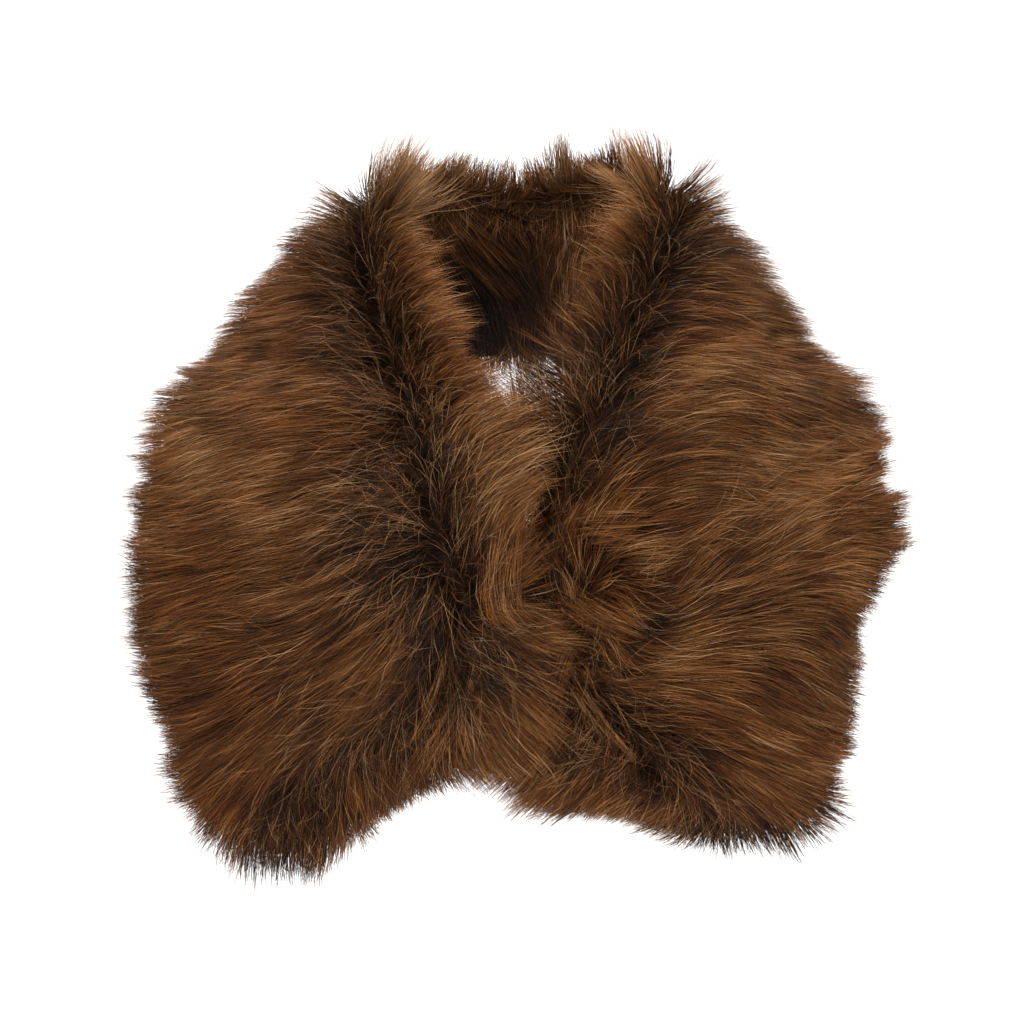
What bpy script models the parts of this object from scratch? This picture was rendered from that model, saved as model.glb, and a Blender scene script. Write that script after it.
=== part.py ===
"""A long-pile fur scarf as worn: one shaped strip round the neck and over both shoulders, its fronts crossed at
the chest. Millimetres in the tables, metres in the mesh. The front faces -Y, up is +Z, the origin is where the
strip rests on the shoulders at the side of the neck."""

import math

import bmesh
import bpy
import numpy as np

# Sizes of the pile, in metres
OUTER_PILE = 0.023
INNER_PILE = 0.008
EDGE_PILE = 0.020
END_PILE = 0.020
EDGE_TOOTH = 0.011
LOCK_HEIGHT = 0.009
LOCK_WIDTH = 0.026
LOCK_LENGTH = 0.056
PARTING_HALF_WIDTH = 0.017
EDGE_BLUNT = 4.0
RISE_UNTIL = 0.12
SEAM_GAP = 0.0003
SEAM_AT = 0.24

# Shape of the rounded ends, as shares of the full section
END_FROM = 0.93
END_NARROWING = 0.12
TIP_WIDTH = 0.55
TIP_THICKNESS = 0.25
END_REACH = 1.5
END_ROUNDNESS = 2.4
TOOTH_BASE = 0.55

# How finely each stretch is laid out
OUTER_STEPS = 36
EDGE_CROWDING = 0.45
INNER_STEPS = 18
FRONT_RINGS = 46
END_RINGS = 6
NECK_RINGS = 46

# The strip's own surface: a row for each section, from the wearer's right end, round the neck, to the left end
SECTIONS = (
    # at, in_x, in_y, in_z, mid_x, mid_y, mid_z, out_x, out_y, out_z
    (-1.00, -110, -124, -318, -147, -128, -323, -182, -114, -308),
    (-0.90, -96, -132, -302, -146, -138, -297, -205, -106, -268),
    (-0.80, -52, -144, -272, -140, -144, -254, -219, -94, -218),
    (-0.70, -8, -156, -235, -130, -146, -205, -226, -80, -173),
    (-0.60, 0, -158, -168, -122, -142, -158, -230, -62, -128),
    (-0.50, -7, -147, -112, -114, -128, -110, -220, -42, -88),
    (-0.40, -20, -116, -54, -108, -100, -58, -206, -18, -54),
    (-0.30, -57, -72, 8, -114, -50, -2, -188, 18, -40),
    (-0.20, -78, -17, 68, -124, 10, 36, -172, 60, -38),
    (-0.10, -59, 44, 84, -88, 76, 24, -118, 120, -44),
    (0.00, 4, 66, 72, 0, 98, 16, 0, 146, -46),
    (0.10, 66, 44, 86, 92, 76, 28, 120, 118, -44),
    (0.20, 89, -17, 76, 131, 10, 42, 176, 60, -36),
    (0.30, 67, -70, 18, 124, -52, 6, 192, 18, -38),
    (0.40, 34, -100, -42, 122, -98, -46, 212, -18, -54),
    (0.50, 15, -110, -104, 126, -126, -100, 225, -42, -90),
    (0.60, 6, -114, -166, 130, -138, -150, 236, -62, -134),
    (0.70, 5, -120, -240, 132, -142, -204, 217, -80, -180),
    (0.80, 32, -126, -288, 140, -142, -252, 205, -94, -228),
    (0.90, 78, -126, -300, 152, -136, -286, 202, -104, -270),
    (1.00, 122, -122, -314, 160, -124, -314, 196, -112, -302),
)

# The parting where the hair turns: how far across the strip it runs and how deep the pile opens
PARTING = (
    # at, across, depth_mm
    (-1.00, 0.50, 3),
    (-0.82, 0.38, 4),
    (-0.72, 0.21, 6),
    (-0.60, 0.13, 8),
    (-0.48, 0.21, 9),
    (-0.35, 0.25, 9),
    (-0.22, 0.22, 7),
    (0.00, 0.10, 2),
    (0.25, 0.18, 7),
    (0.40, 0.14, 8),
    (0.56, 0.06, 9),
    (0.68, 0.13, 8),
    (0.80, 0.27, 8),
    (0.93, 0.32, 8),
    (1.00, 0.34, 7),
)

# How far a lock's tip lies towards the end of the strip for each metre that it runs outwards
LEAN = (
    # at, outer_lean, inner_lean
    (-1.00, 1.60, 1.2),
    (-0.80, 0.90, 1.0),
    (-0.60, 0.35, -0.2),
    (-0.40, 0.10, -0.8),
    (-0.20, 0.00, -0.3),
    (0.00, 0.00, 0.0),
    (0.20, 0.00, -0.3),
    (0.40, -0.10, -0.9),
    (0.60, -0.25, -0.6),
    (0.80, 0.20, 0.8),
    (1.00, 0.80, 1.2),
)

# Broad swells and hollows of the pile over the fronts
SWELLS = (
    # at, across, along_m, across_m, height_mm
    (-0.66, 0.62, 0.050, 0.070, 4),
    (-0.52, 0.70, 0.040, 0.060, -3),
    (-0.84, 0.35, 0.035, 0.050, -4),
    (-0.38, 0.60, 0.050, 0.060, 3),
    (0.42, 0.62, 0.045, 0.070, 4),
    (0.56, 0.72, 0.030, 0.060, -3),
    (0.68, 0.66, 0.040, 0.070, 4),
    (0.61, 0.24, 0.020, 0.022, 6),
    (0.66, 0.16, 0.016, 0.020, -5),
    (0.80, 0.62, 0.030, 0.060, -3),
    (-0.21, 0.22, 0.050, 0.060, 6),
    (0.21, 0.22, 0.050, 0.060, 8),
)

# Tufts that stand up out of the neck edge
TUFTS = (
    # at, reach_mm, rise_mm, half_width_m
    (-0.19, 18, 14, 0.018),
    (-0.12, 6, 4, 0.014),
    (0.03, 14, 6, 0.013),
    (0.12, 7, 4, 0.014),
    (0.19, 20, 14, 0.020),
)

MATERIALS = {
    "right_front": ("RightFrontFur", (0.150, 0.070, 0.032, 1.0)),
    "left_front": ("LeftFrontFur", (0.150, 0.070, 0.032, 1.0)),
    "neck_stretch": ("NeckStretchFur", (0.120, 0.056, 0.027, 1.0)),
}


def blend(table, at):
    """The table's columns at each place, eased from row to row with a smooth slope."""
    rows = np.array(table, float)
    place = rows[:, 0]
    value = rows[:, 1:]
    slope = np.gradient(value, place, axis=0)
    at = np.asarray(at, float)
    row = np.clip(np.searchsorted(place, at, side="right") - 1, 0, len(place) - 2)
    step = (place[row + 1] - place[row])[..., None]
    t = (at - place[row])[..., None] / step
    start = (2 * t**3 - 3 * t**2 + 1) * value[row] + (t**3 - 2 * t**2 + t) * step * slope[row]
    end = (3 * t**2 - 2 * t**3) * value[row + 1] + (t**3 - t**2) * step * slope[row + 1]
    return start + end


def surface(at, across):
    """The strip's own surface in metres: across is 0 at the neck edge and 1 at the outer edge."""
    at, across = np.broadcast_arrays(np.asarray(at, float), np.asarray(across, float))
    rows = blend(SECTIONS, at) / 1000
    v = across[..., None]
    neck, middle, outer = rows[..., 0:3], rows[..., 3:6], rows[..., 6:9]
    return neck * (1 - v) * (1 - 2 * v) + middle * 4 * v * (1 - v) + outer * v * (2 * v - 1)


def frame_at(at, across):
    """Unit directions along the strip, across it and away from the wearer."""
    small = 1e-3
    along = surface(at + small, across) - surface(at - small, across)
    side = surface(at, across + small) - surface(at, across - small)
    along = along / np.linalg.norm(along, axis=-1, keepdims=True)
    side = side / np.linalg.norm(side, axis=-1, keepdims=True)
    away = np.cross(along, side)
    away = away / np.linalg.norm(away, axis=-1, keepdims=True)
    return along, side, away


def hashed(a, b):
    """An uneven number from 0 to 1 for each pair of whole numbers."""
    value = np.sin(a * 12.9898 + b * 78.233 + 4.1) * 43758.5453
    return value - np.floor(value)


def lengths():
    """The place along the strip against metres from its middle, on the centre line."""
    place = np.linspace(-1.1, 1.1, 881)
    line = surface(place, np.full_like(place, 0.5))
    run = np.concatenate([[0], np.cumsum(np.linalg.norm(np.diff(line, axis=0), axis=1))])
    return place, run - np.interp(0.0, place, run)


PLACE, RUN = lengths()


def width_at(at):
    """The strip's width in metres, measured round its curve."""
    v = np.linspace(0, 1, 21)
    points = surface(np.asarray(at, float)[..., None], v)
    return np.linalg.norm(np.diff(points, axis=-2), axis=-1).sum(axis=-1)


def lock_relief(at, across):
    """Height from 0 to 1 of shingled locks: each rises to its tip and narrows as it goes."""
    run = np.interp(at, PLACE, RUN)
    wide = width_at(at)
    lean = blend(LEAN, at)
    part = blend(PARTING, at)[..., 0]
    outward = across >= part
    reach = np.abs(across - part) * wide
    shift = np.where(outward, lean[..., 0], lean[..., 1]) * reach * np.sign(run)
    column = (run - shift) / LOCK_WIDTH
    column = column + 0.35 * np.sin(column * 1.7) + 0.25 * np.sin(column * 0.63 + 2.0) + np.where(outward, 0, 9.4)
    stagger = hashed(np.floor(column), np.where(outward, 1.0, 2.0))
    row = reach / LOCK_LENGTH + stagger
    row_number = np.floor(row)
    along_lock = row - row_number
    sideways = np.abs(2 * (column - np.floor(column)) - 1)
    body = 1 - (sideways / (1 - 0.45 * along_lock)) ** 2
    size = 0.55 + 0.45 * hashed(np.floor(column), row_number)
    return size * np.clip(body, 0, 1) * along_lock**0.7 * (1 - along_lock**8)


def edge_teeth(run, kind):
    """How far the locks at an edge stand out, from 0 to 1, uneven in pitch and length."""
    column = run / LOCK_WIDTH
    column = column + 0.35 * np.sin(column * 1.3 + kind) + 0.2 * np.sin(column * 0.51 + 2 * kind)
    size = 0.35 + 0.65 * hashed(np.floor(column), 7.0 + kind)
    part = column - np.floor(column)
    return size * np.where(part < 0.62, part / 0.62, (1 - part) / 0.38)


def tuft_at(run):
    """Metres that the neck edge's tufts add to its reach, and that they lift it, at a place along the strip."""
    reach = 0.0
    rise = 0.0
    for place, longer, taller, half_width in TUFTS:
        near = math.exp(-(((run - np.interp(place, PLACE, RUN)) / half_width) ** 2))
        reach += longer / 1000 * near
        rise += taller / 1000 * near
    return reach, rise


def outer_height(at, across):
    """Metres that the outer pile stands off the strip before it rounds down at the edges."""
    wide = width_at(at)
    part = blend(PARTING, at)
    off_parting = (across - part[..., 0]) * wide / PARTING_HALF_WIDTH
    height = OUTER_PILE - part[..., 1] / 1000 * np.exp(-(off_parting**2))
    run = np.interp(at, PLACE, RUN)
    for place, over, along_m, across_m, tall in SWELLS:
        near = ((run - np.interp(place, PLACE, RUN)) / along_m) ** 2 + ((across - over) * wide / across_m) ** 2
        height = height + tall / 1000 * np.exp(-near)
    return height + LOCK_HEIGHT * (lock_relief(at, across) - 0.4)


def ring(at, shrink=1.0, thin=1.0, beyond=0.0):
    """One closed section: over the outer face from the neck edge, and back under the inner face."""
    wide = float(width_at(np.array([at]))[0])
    run = float(np.interp(at, PLACE, RUN))
    tuft, rise = tuft_at(run)
    reach_in = (EDGE_PILE + tuft + EDGE_TOOTH * float(edge_teeth(run, 1.0))) / wide
    reach_out = (EDGE_PILE + EDGE_TOOTH * float(edge_teeth(run, 3.0))) / wide
    over = -np.cos(np.linspace(0, math.pi, OUTER_STEPS + 1))
    over = EDGE_CROWDING * over + (1 - EDGE_CROWDING) * np.linspace(-1, 1, OUTER_STEPS + 1)
    under = over[::2][::-1][1:-1]
    pieces = []
    for place, outer in ((over, True), (under, False)):
        t = (place * shrink + 1) / 2
        across = -reach_in + t * (1 + reach_in + reach_out)
        here = np.full_like(across, at)
        along, _, away = frame_at(here, across)
        rounded = np.clip(1 - np.abs(place) ** EDGE_BLUNT, 0, 1) ** 0.5 * thin
        if outer:
            height = outer_height(here, across) * rounded
        else:
            height = -INNER_PILE * rounded
        tooth = TOOTH_BASE + (1 - TOOTH_BASE) * edge_teeth(across * wide + 0.3, 5.0)
        points = surface(here, across) + away * height[:, None]
        points[:, 2] += rise * np.clip((RISE_UNTIL - across) / (RISE_UNTIL + reach_in), 0, 1) ** 1.5
        direction = math.copysign(1.0, at)
        points = points + along * (direction * beyond * tooth)[:, None]
        pieces.append(points)
    return np.concatenate(pieces)


def cap(faces, first, flip):
    """Closes a ring with strips between its outer and inner face."""
    count = OUTER_STEPS + INNER_STEPS
    for k in range(INNER_STEPS):
        upper = (2 * k, 2 * k + 1, 2 * k + 2)
        lower = [(count - k - 1) % count, (count - k) % count]
        if k == 0:
            lower = [count - 1]
        if k == INNER_STEPS - 1:
            lower = [count - k]
        loop = []
        for place in list(upper) + lower:
            if place % count not in loop:
                loop.append(place % count)
        for n in range(1, len(loop) - 1):
            triangle = [first + loop[0], first + loop[n], first + loop[n + 1]]
            faces.append(triangle[::-1] if flip else triangle)


def build(name, rings):
    """A closed solid through the rings."""
    count = OUTER_STEPS + INNER_STEPS
    points = np.concatenate(rings)
    faces = []
    for r in range(len(rings) - 1):
        for k in range(count):
            a = r * count + k
            b = r * count + (k + 1) % count
            faces.append([a, b, b + count, a + count])
    cap(faces, 0, False)
    cap(faces, (len(rings) - 1) * count, True)
    mesh = bpy.data.meshes.new(name)
    mesh.from_pydata(points.tolist(), [], faces)
    part = bpy.data.objects.new(name, mesh)
    bpy.context.collection.objects.link(part)
    work = bmesh.new()
    work.from_mesh(mesh)
    bmesh.ops.triangulate(work, faces=work.faces[:])
    bmesh.ops.recalc_face_normals(work, faces=work.faces[:])
    work.to_mesh(mesh)
    work.free()
    title, colour = MATERIALS[name]
    material = bpy.data.materials.new(title)
    material.use_nodes = True
    shader = material.node_tree.nodes["Principled BSDF"]
    shader.inputs["Base Color"].default_value = colour
    shader.inputs["Roughness"].default_value = 0.7
    mesh.materials.append(material)
    return part


def seam_shift(side):
    """Half of the seam's gap, along the strip and away from the neck stretch."""
    along, _, _ = frame_at(np.array([side * SEAM_AT]), np.array([0.5]))
    return along[0] * side * SEAM_GAP / 2


def front(name, side):
    """A front stretch, from the shoulder seam to its rounded end."""
    places = side * np.linspace(SEAM_AT, 1.0, FRONT_RINGS)
    rings = []
    for place in places:
        near_end = max(0.0, (abs(place) - END_FROM) / (1 - END_FROM))
        rings.append(ring(place, 1 - END_NARROWING * near_end**2))
    rings[0] = rings[0] + seam_shift(side)
    for k in range(1, END_RINGS + 1):
        t = k / END_RINGS
        round_off = math.sqrt(max(0.0, 1 - t**END_ROUNDNESS))
        narrow = TIP_WIDTH + (1 - END_NARROWING - TIP_WIDTH) * round_off
        thin = TIP_THICKNESS + (1 - TIP_THICKNESS) * round_off
        rings.append(ring(side * 1.0, narrow, thin, END_PILE * END_REACH * t))
    return build(name, rings)


def neck(name):
    """The stretch round the back of the neck, between the shoulder seams."""
    rings = [ring(place) for place in np.linspace(-SEAM_AT, SEAM_AT, NECK_RINGS)]
    rings[0] = rings[0] - seam_shift(-1)
    rings[-1] = rings[-1] - seam_shift(1)
    return build(name, rings)


def main():
    for item in list(bpy.data.objects):
        bpy.data.objects.remove(item)
    front("right_front", -1)
    front("left_front", 1)
    neck("neck_stretch")


main()
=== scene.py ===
"""A long-pile fur scarf as worn: backing cloth for each stretch, the pile as tapered hairs laid out
from tables of how the fur is combed, studio light and the camera."""

import math

import bpy
import numpy as np
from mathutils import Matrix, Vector
from mathutils.bvhtree import BVHTree


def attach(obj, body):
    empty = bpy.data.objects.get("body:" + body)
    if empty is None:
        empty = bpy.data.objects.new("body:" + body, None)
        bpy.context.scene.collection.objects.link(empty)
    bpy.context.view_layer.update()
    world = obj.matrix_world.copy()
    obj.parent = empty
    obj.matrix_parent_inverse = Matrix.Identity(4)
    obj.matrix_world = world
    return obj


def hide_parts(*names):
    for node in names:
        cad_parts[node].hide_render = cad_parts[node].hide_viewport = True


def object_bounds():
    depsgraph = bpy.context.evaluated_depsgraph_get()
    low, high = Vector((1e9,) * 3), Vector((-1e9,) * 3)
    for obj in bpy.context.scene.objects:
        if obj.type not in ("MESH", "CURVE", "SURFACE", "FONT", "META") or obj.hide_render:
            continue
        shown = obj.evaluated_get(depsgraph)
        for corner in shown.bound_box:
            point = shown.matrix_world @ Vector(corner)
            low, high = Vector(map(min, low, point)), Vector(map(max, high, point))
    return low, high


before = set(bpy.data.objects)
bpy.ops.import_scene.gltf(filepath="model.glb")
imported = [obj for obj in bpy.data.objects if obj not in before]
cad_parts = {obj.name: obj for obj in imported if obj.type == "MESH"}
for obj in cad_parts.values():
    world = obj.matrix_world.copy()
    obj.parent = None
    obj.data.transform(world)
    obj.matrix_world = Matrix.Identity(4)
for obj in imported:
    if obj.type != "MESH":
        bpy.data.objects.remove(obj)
cad_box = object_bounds()

# The strip's own surface in millimetres: a row for each section, from the wearer's right end to the left end
SECTIONS = (
    # at, in_x, in_y, in_z, mid_x, mid_y, mid_z, out_x, out_y, out_z
    (-1.00, -110, -124, -318, -147, -128, -323, -182, -114, -308),
    (-0.90, -96, -132, -302, -146, -138, -297, -205, -106, -268),
    (-0.80, -52, -144, -272, -140, -144, -254, -219, -94, -218),
    (-0.70, -8, -156, -235, -130, -146, -205, -226, -80, -173),
    (-0.60, 0, -158, -168, -122, -142, -158, -230, -62, -128),
    (-0.50, -7, -147, -112, -114, -128, -110, -220, -42, -88),
    (-0.40, -20, -116, -54, -108, -100, -58, -206, -18, -54),
    (-0.30, -57, -72, 8, -114, -50, -2, -188, 18, -40),
    (-0.20, -78, -17, 68, -124, 10, 36, -172, 60, -38),
    (-0.10, -59, 44, 84, -88, 76, 24, -118, 120, -44),
    (0.00, 4, 66, 72, 0, 98, 16, 0, 146, -46),
    (0.10, 66, 44, 86, 92, 76, 28, 120, 118, -44),
    (0.20, 89, -17, 76, 131, 10, 42, 176, 60, -36),
    (0.30, 67, -70, 18, 124, -52, 6, 192, 18, -38),
    (0.40, 34, -100, -42, 122, -98, -46, 212, -18, -54),
    (0.50, 15, -110, -104, 126, -126, -100, 225, -42, -90),
    (0.60, 6, -114, -166, 130, -138, -150, 236, -62, -134),
    (0.70, 5, -120, -240, 132, -142, -204, 217, -80, -180),
    (0.80, 32, -126, -288, 140, -142, -252, 205, -94, -228),
    (0.90, 78, -126, -300, 152, -136, -286, 202, -104, -270),
    (1.00, 122, -122, -314, 160, -124, -314, 196, -112, -302),
)

# The parting where the hair turns: how far across the strip it runs
PARTING = (
    # at, across
    (-1.00, 0.50), (-0.82, 0.38), (-0.72, 0.21), (-0.60, 0.13), (-0.48, 0.21),
    (-0.35, 0.25), (-0.22, 0.22), (0.00, 0.10), (0.25, 0.18), (0.40, 0.14),
    (0.56, 0.06), (0.68, 0.13), (0.80, 0.27), (0.93, 0.32), (1.00, 0.34),
)

# How far across the strip each column of the comb tables holds, apart from the roll's own column
COMB_ACROSS = (0.12, 0.35, 0.60, 0.85)

# How the pile of the fronts is combed: 0 degrees is straight out to the side and 90 is straight down
RIGHT_COMB = (
    # at, roll, by_parting, inner_third, outer_third, by_edge
    (-1.00, 94, 84, 84, 80, 52),
    (-0.93, 94, 90, 90, 66, 48),
    (-0.85, 92, 84, 84, 55, 20),
    (-0.78, 104, 64, 50, 20, 10),
    (-0.70, 122, 56, 36, 12, 6),
    (-0.62, 140, 48, 33, 8, 3),
    (-0.60, 118, 50, 35, 7, 3),
    (-0.575, 258, 51, 37, 6, 3),
    (-0.48, 246, 30, 9, 12, 14),
    (-0.40, 220, 20, 11, 15, 30),
    (-0.33, 212, 15, 14, 16, 28),
    (-0.25, 240, 8, 8, 14, 28),
    (-0.15, 262, 4, 6, 10, 20),
)
LEFT_COMB = (
    # at, roll, by_parting, inner_third, outer_third, by_edge
    (0.15, 262, 0, 0, 6, 16),
    (0.25, 252, -2, 0, 6, 16),
    (0.33, 257, -8, -2, 5, 16),
    (0.40, 240, -42, -14, 14, 26),
    (0.48, 212, -52, -26, 16, -20),
    (0.55, 225, -38, -30, -44, -20),
    (0.60, 170, -8, -38, -36, -6),
    (0.66, 110, 14, -6, -8, 22),
    (0.72, 112, 24, 2, 12, 22),
    (0.78, 130, 14, 8, 22, 20),
    (0.85, 136, 25, 48, 23, 20),
    (0.93, 130, 37, 54, 27, 18),
    (1.00, 128, 39, 58, 27, 19),
)

# How upright the pile stands, in degrees at the root and at the tip, and how long it is
LEFT_STAND = (
    # at, root_lift, tip_lift, length_mm, roll_length_mm
    (0.10, 60, 28, 40, 34),
    (0.22, 66, 40, 45, 40),
    (0.32, 56, 28, 48, 40),
    (0.42, 44, 8, 54, 40),
    (0.60, 38, 0, 58, 42),
    (0.80, 38, 0, 58, 44),
    (1.00, 42, 4, 52, 44),
)
RIGHT_STAND = tuple((-row[0], *row[1:]) for row in reversed(LEFT_STAND))
STAND = (*RIGHT_STAND, (0.00, 56, 18, 40, 32), *LEFT_STAND)

# The locks that the hairs gather in, from the broadest to the finest, with painted shade in the gaps between
# them
LOCKS = (
    # size_m, pull, sideways_m, turn_degrees, rise, tint, painted_gap_shade, seed
    (0.030, 0.34, 0.012, 8, 0.34, 0.10, 0.16, 41),
    (0.0115, 0.56, 0.006, 17, 0.34, 0.14, 0.36, 51),
    (0.0038, 0.50, 0.0020, 10, 0.16, 0.14, 0.20, 61),
)

# Hair that is ruffled or turned round where the fronts cross, and other disturbed places
RUFFLES = (
    # at, across, radius_m, turn_degrees
    (0.575, 0.14, 0.016, 95),
    (0.60, 0.24, 0.016, -85),
    (0.625, 0.10, 0.016, 120),
    (0.65, 0.20, 0.016, -90),
    (0.67, 0.06, 0.018, -60),
    (0.55, 0.30, 0.018, -45),
    (0.72, 0.20, 0.020, 50),
    (0.80, 0.16, 0.018, -35),
    (-0.63, 0.12, 0.016, 60),
    (-0.67, 0.04, 0.016, -45),
    (-0.50, 0.22, 0.018, -45),
    (-0.44, 0.28, 0.014, 70),
    (-0.39, 0.30, 0.013, -60),
    (-0.33, 0.24, 0.014, 55),
    (-0.57, 0.22, 0.016, 35),
    (-0.76, 0.12, 0.022, -25),
    (0.05, 0.35, 0.030, 55),
    (-0.06, 0.25, 0.028, -45),
)

# Uneven tufts along the edges, from the broadest to the finest, as shares of how far the hair reaches
EDGE_TUFTS = (
    # pitch_m, tall, pointed, seed
    (0.026, 0.34, 0.26, 81),
    (0.012, 0.28, 0.28, 82),
)

# Places where the pile opens, with how far it opens from 0 to 1: the hair stands up there, and its dark
# depth is painted shade on the hair
HOLLOWS = (
    # at, across, radius_m, share
    (-0.295, 0.31, 0.018, 0.8),
    (-0.345, 0.32, 0.022, 0.9),
    (-0.39, 0.25, 0.021, 0.9),
    (-0.44, 0.30, 0.024, 0.9),
    (-0.45, 0.17, 0.014, 0.8),
    (-0.49, 0.16, 0.018, 0.95),
    (-0.50, 0.30, 0.024, 0.9),
    (-0.535, 0.17, 0.018, 0.95),
    (-0.56, 0.24, 0.019, 0.9),
    (0.495, 0.05, 0.011, 0.9),
    (0.54, 0.07, 0.012, 0.9),
    (0.591, 0.28, 0.010, 0.9),
    (0.92, 0.36, 0.018, 0.7),
    (0.97, 0.52, 0.014, 0.5),
    (0.604, 0.06, 0.009, 0.9),
    (0.622, 0.24, 0.010, 0.9),
    (0.651, 0.19, 0.009, 0.9),
    (0.695, 0.07, 0.012, 0.9),
    (0.70, 0.19, 0.014, 0.9),
    (0.735, 0.20, 0.013, 0.9),
    (0.80, 0.28, 0.015, 0.9),
    (0.88, 0.32, 0.017, 0.9),
    (0.764, 0.27, 0.014, 0.9),
    (0.84, 0.29, 0.015, 0.8),
    (0.555, 0.45, 0.009, 0.7),
    (0.575, 0.72, 0.011, 0.7),
    (0.661, 0.09, 0.011, 0.9),
    (-0.63, 0.08, 0.014, 0.8),
    (-0.75, 0.12, 0.014, 0.5),
    (-0.67, 0.45, 0.010, 0.6),
    (-0.72, 0.34, 0.012, 0.6),
    (-0.79, 0.36, 0.018, 0.9),
    (-0.85, 0.42, 0.020, 1.0),
    (-0.91, 0.48, 0.019, 1.0),
    (-0.96, 0.53, 0.015, 0.8),
)

# Broad places where the pile is painted paler or darker: painted light on the crests of the rolls, the
# shoulders and the upper left front, painted shade where the fronts cross, and darker low on the fronts
PAINTED_LIGHT_AND_SHADE = (
    # at, across, radius_m, tint
    (-0.19, 0.04, 0.034, 0.34),
    (-0.30, 0.05, 0.030, 0.08),
    (-0.38, 0.05, 0.034, 0.12),
    (-0.47, 0.03, 0.030, 0.10),
    (0.19, 0.05, 0.034, 0.08),
    (0.38, 0.45, 0.055, 0.13),
    (0.50, 0.50, 0.045, 0.05),
    (-0.73, 0.62, 0.055, -0.21),
    (0.72, 0.66, 0.050, -0.06),
    (-0.93, 0.40, 0.045, -0.06),
    (-0.55, 0.75, 0.040, -0.04),
    (0.66, 0.16, 0.026, -0.08),
)

# Broad places where the inner face at the back of the neck is painted paler or darker: painted shade deep in
# the neck, painted light on the streams of hair and at the crests of the rim
NECK_PAINTED_LIGHT_AND_SHADE = (
    # at, across, radius_m, tint
    (-0.075, 0.46, 0.028, -0.20),
    (-0.035, 0.72, 0.028, -0.20),
    (0.005, 0.92, 0.020, -0.10),
    (-0.085, 0.22, 0.022, 0.16),
    (-0.045, 0.34, 0.014, 0.10),
    (0.055, 0.36, 0.024, 0.13),
    (0.030, 0.62, 0.012, 0.08),
    (-0.19, 0.05, 0.022, 0.20),
    (0.19, 0.05, 0.022, 0.12),
)

# Tufts that stand up out of the neck edge and the shoulders, and long hair over the gap at the throat
TUFTS = (
    # at, across, radius_m, longer, upright_degrees
    (-0.19, 0.02, 0.016, 1.75, 30),
    (-0.13, 0.00, 0.014, 0.20, 20),
    (0.040, 0.00, 0.012, 1.20, 25),
    (0.19, 0.02, 0.018, 1.40, 30),
    (0.26, 0.10, 0.020, 0.30, 15),
    (0.12, 0.00, 0.014, 0.45, 20),
    (-0.19, 0.17, 0.018, 0.50, 26),
    (-0.26, 0.30, 0.022, 0.20, 12),
    (0.18, 0.17, 0.018, 0.35, 22),
    (-0.30, 0.72, 0.036, -0.42, 0),
    (0.30, 0.72, 0.036, -0.45, 0),
    (-0.38, 1.00, 0.016, 0.05, 0),
    (0.37, 1.00, 0.016, 0.20, 0),
    (-0.035, 1.00, 0.018, 0.60, 0),
    (0.040, 1.00, 0.014, 0.50, 0),
    (-0.44, 0.00, 0.034, 0.60, -6),
    (0.44, 0.00, 0.034, 0.75, -6),
    (0.61, 0.16, 0.030, -0.25, 10),
    (0.73, 1.00, 0.045, -0.36, 0),
    (0.95, 1.00, 0.030, -0.50, 0),
    (-0.88, 1.00, 0.030, -0.35, 0),
    (-0.84, 0.00, 0.040, -0.35, 0),
    (-1.00, 0.28, 0.034, 0.45, 0),
    (0.86, 0.00, 0.024, -0.30, 0),
    (-0.67, 0.00, 0.036, 0.60, 0),
    (0.74, 0.00, 0.030, 0.50, 0),
)

# Long locks laid over the fronts: the line that each follows, in millimetres across and up
LAID_LOCKS = {
    # hairs, half_width_mm, tint, ((x, z), and on)
    "right_front": (
        (760, 12, 0.08, ((6, -66), (3, -88), (-2, -112), (-7, -138), (-8, -158), (0, -174),
                        (24, -184), (46, -186))),
        (220, 12, 0.10, ((-34, -84), (-14, -68), (8, -55))),
        (260, 14, 0.04, ((-12, -166), (-8, -206), (-8, -240), (-14, -276))),
        (260, 14, 0.06, ((-24, -160), (-32, -200), (-46, -236), (-66, -270))),
        (150, 12, 0.08, ((-36, -156), (-60, -194), (-88, -226), (-118, -248))),
        (130, 11, 0.06, ((-48, -146), (-80, -176), (-114, -200), (-150, -214))),
        (110, 10, 0.08, ((-62, -120), (-94, -144), (-130, -160), (-168, -170))),
    ),
    "left_front": (
        (340, 14, 0.12, ((12, -94), (9, -72), (6, -52), (4, -32))),
        (200, 9, 0.00, ((14, -158), (30, -161), (48, -172), (70, -180))),
        (150, 6, 0.16, ((50, -168), (46, -182), (38, -196), (32, -214))),
        (220, 12, 0.04, ((16, -136), (34, -122), (60, -116), (92, -112))),
        (180, 12, 0.06, ((70, -150), (106, -132), (146, -108), (190, -78))),
        (170, 11, 0.06, ((52, -96), (90, -80), (134, -78), (176, -84), (206, -76))),
        (150, 11, 0.06, ((80, -176), (122, -162), (164, -150), (206, -144))),
        (130, 10, 0.06, ((50, -62), (88, -46), (128, -44), (170, -50))),
        (130, 7, 0.16, ((24, -196), (36, -216), (50, -236), (68, -256))),
        (190, 17, 0.02, ((58, -256), (42, -276), (22, -294), (0, -310))),
        (170, 16, 0.02, ((32, -234), (16, -256), (-2, -274), (-20, -290))),
    ),
}

# The laid locks' meshes, and how their hairs lie
LAID_PILES = (
    # name, stretch, width_m, seed
    ("right_front_locks", "right_front", 0.00040, 14),
    ("left_front_locks", "left_front", 0.00040, 24),
)
LAID_LENGTH = 0.056
LAID_SINK = 0.012
LAID_CLUMP = 9
LAID_STEPS = 60
LAID_SMOOTHING = 9
LAID_FIRST_DEPTH = -0.15
LAID_SPREAD = 0.20
LAID_STRAYS = 0.15
LAID_VEER = 0.45
LAID_LAYER = 0.007
LAID_ARCH = 0.003
LAID_TINT = 0.56
LAID_RUSSETS = 0.45

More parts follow.
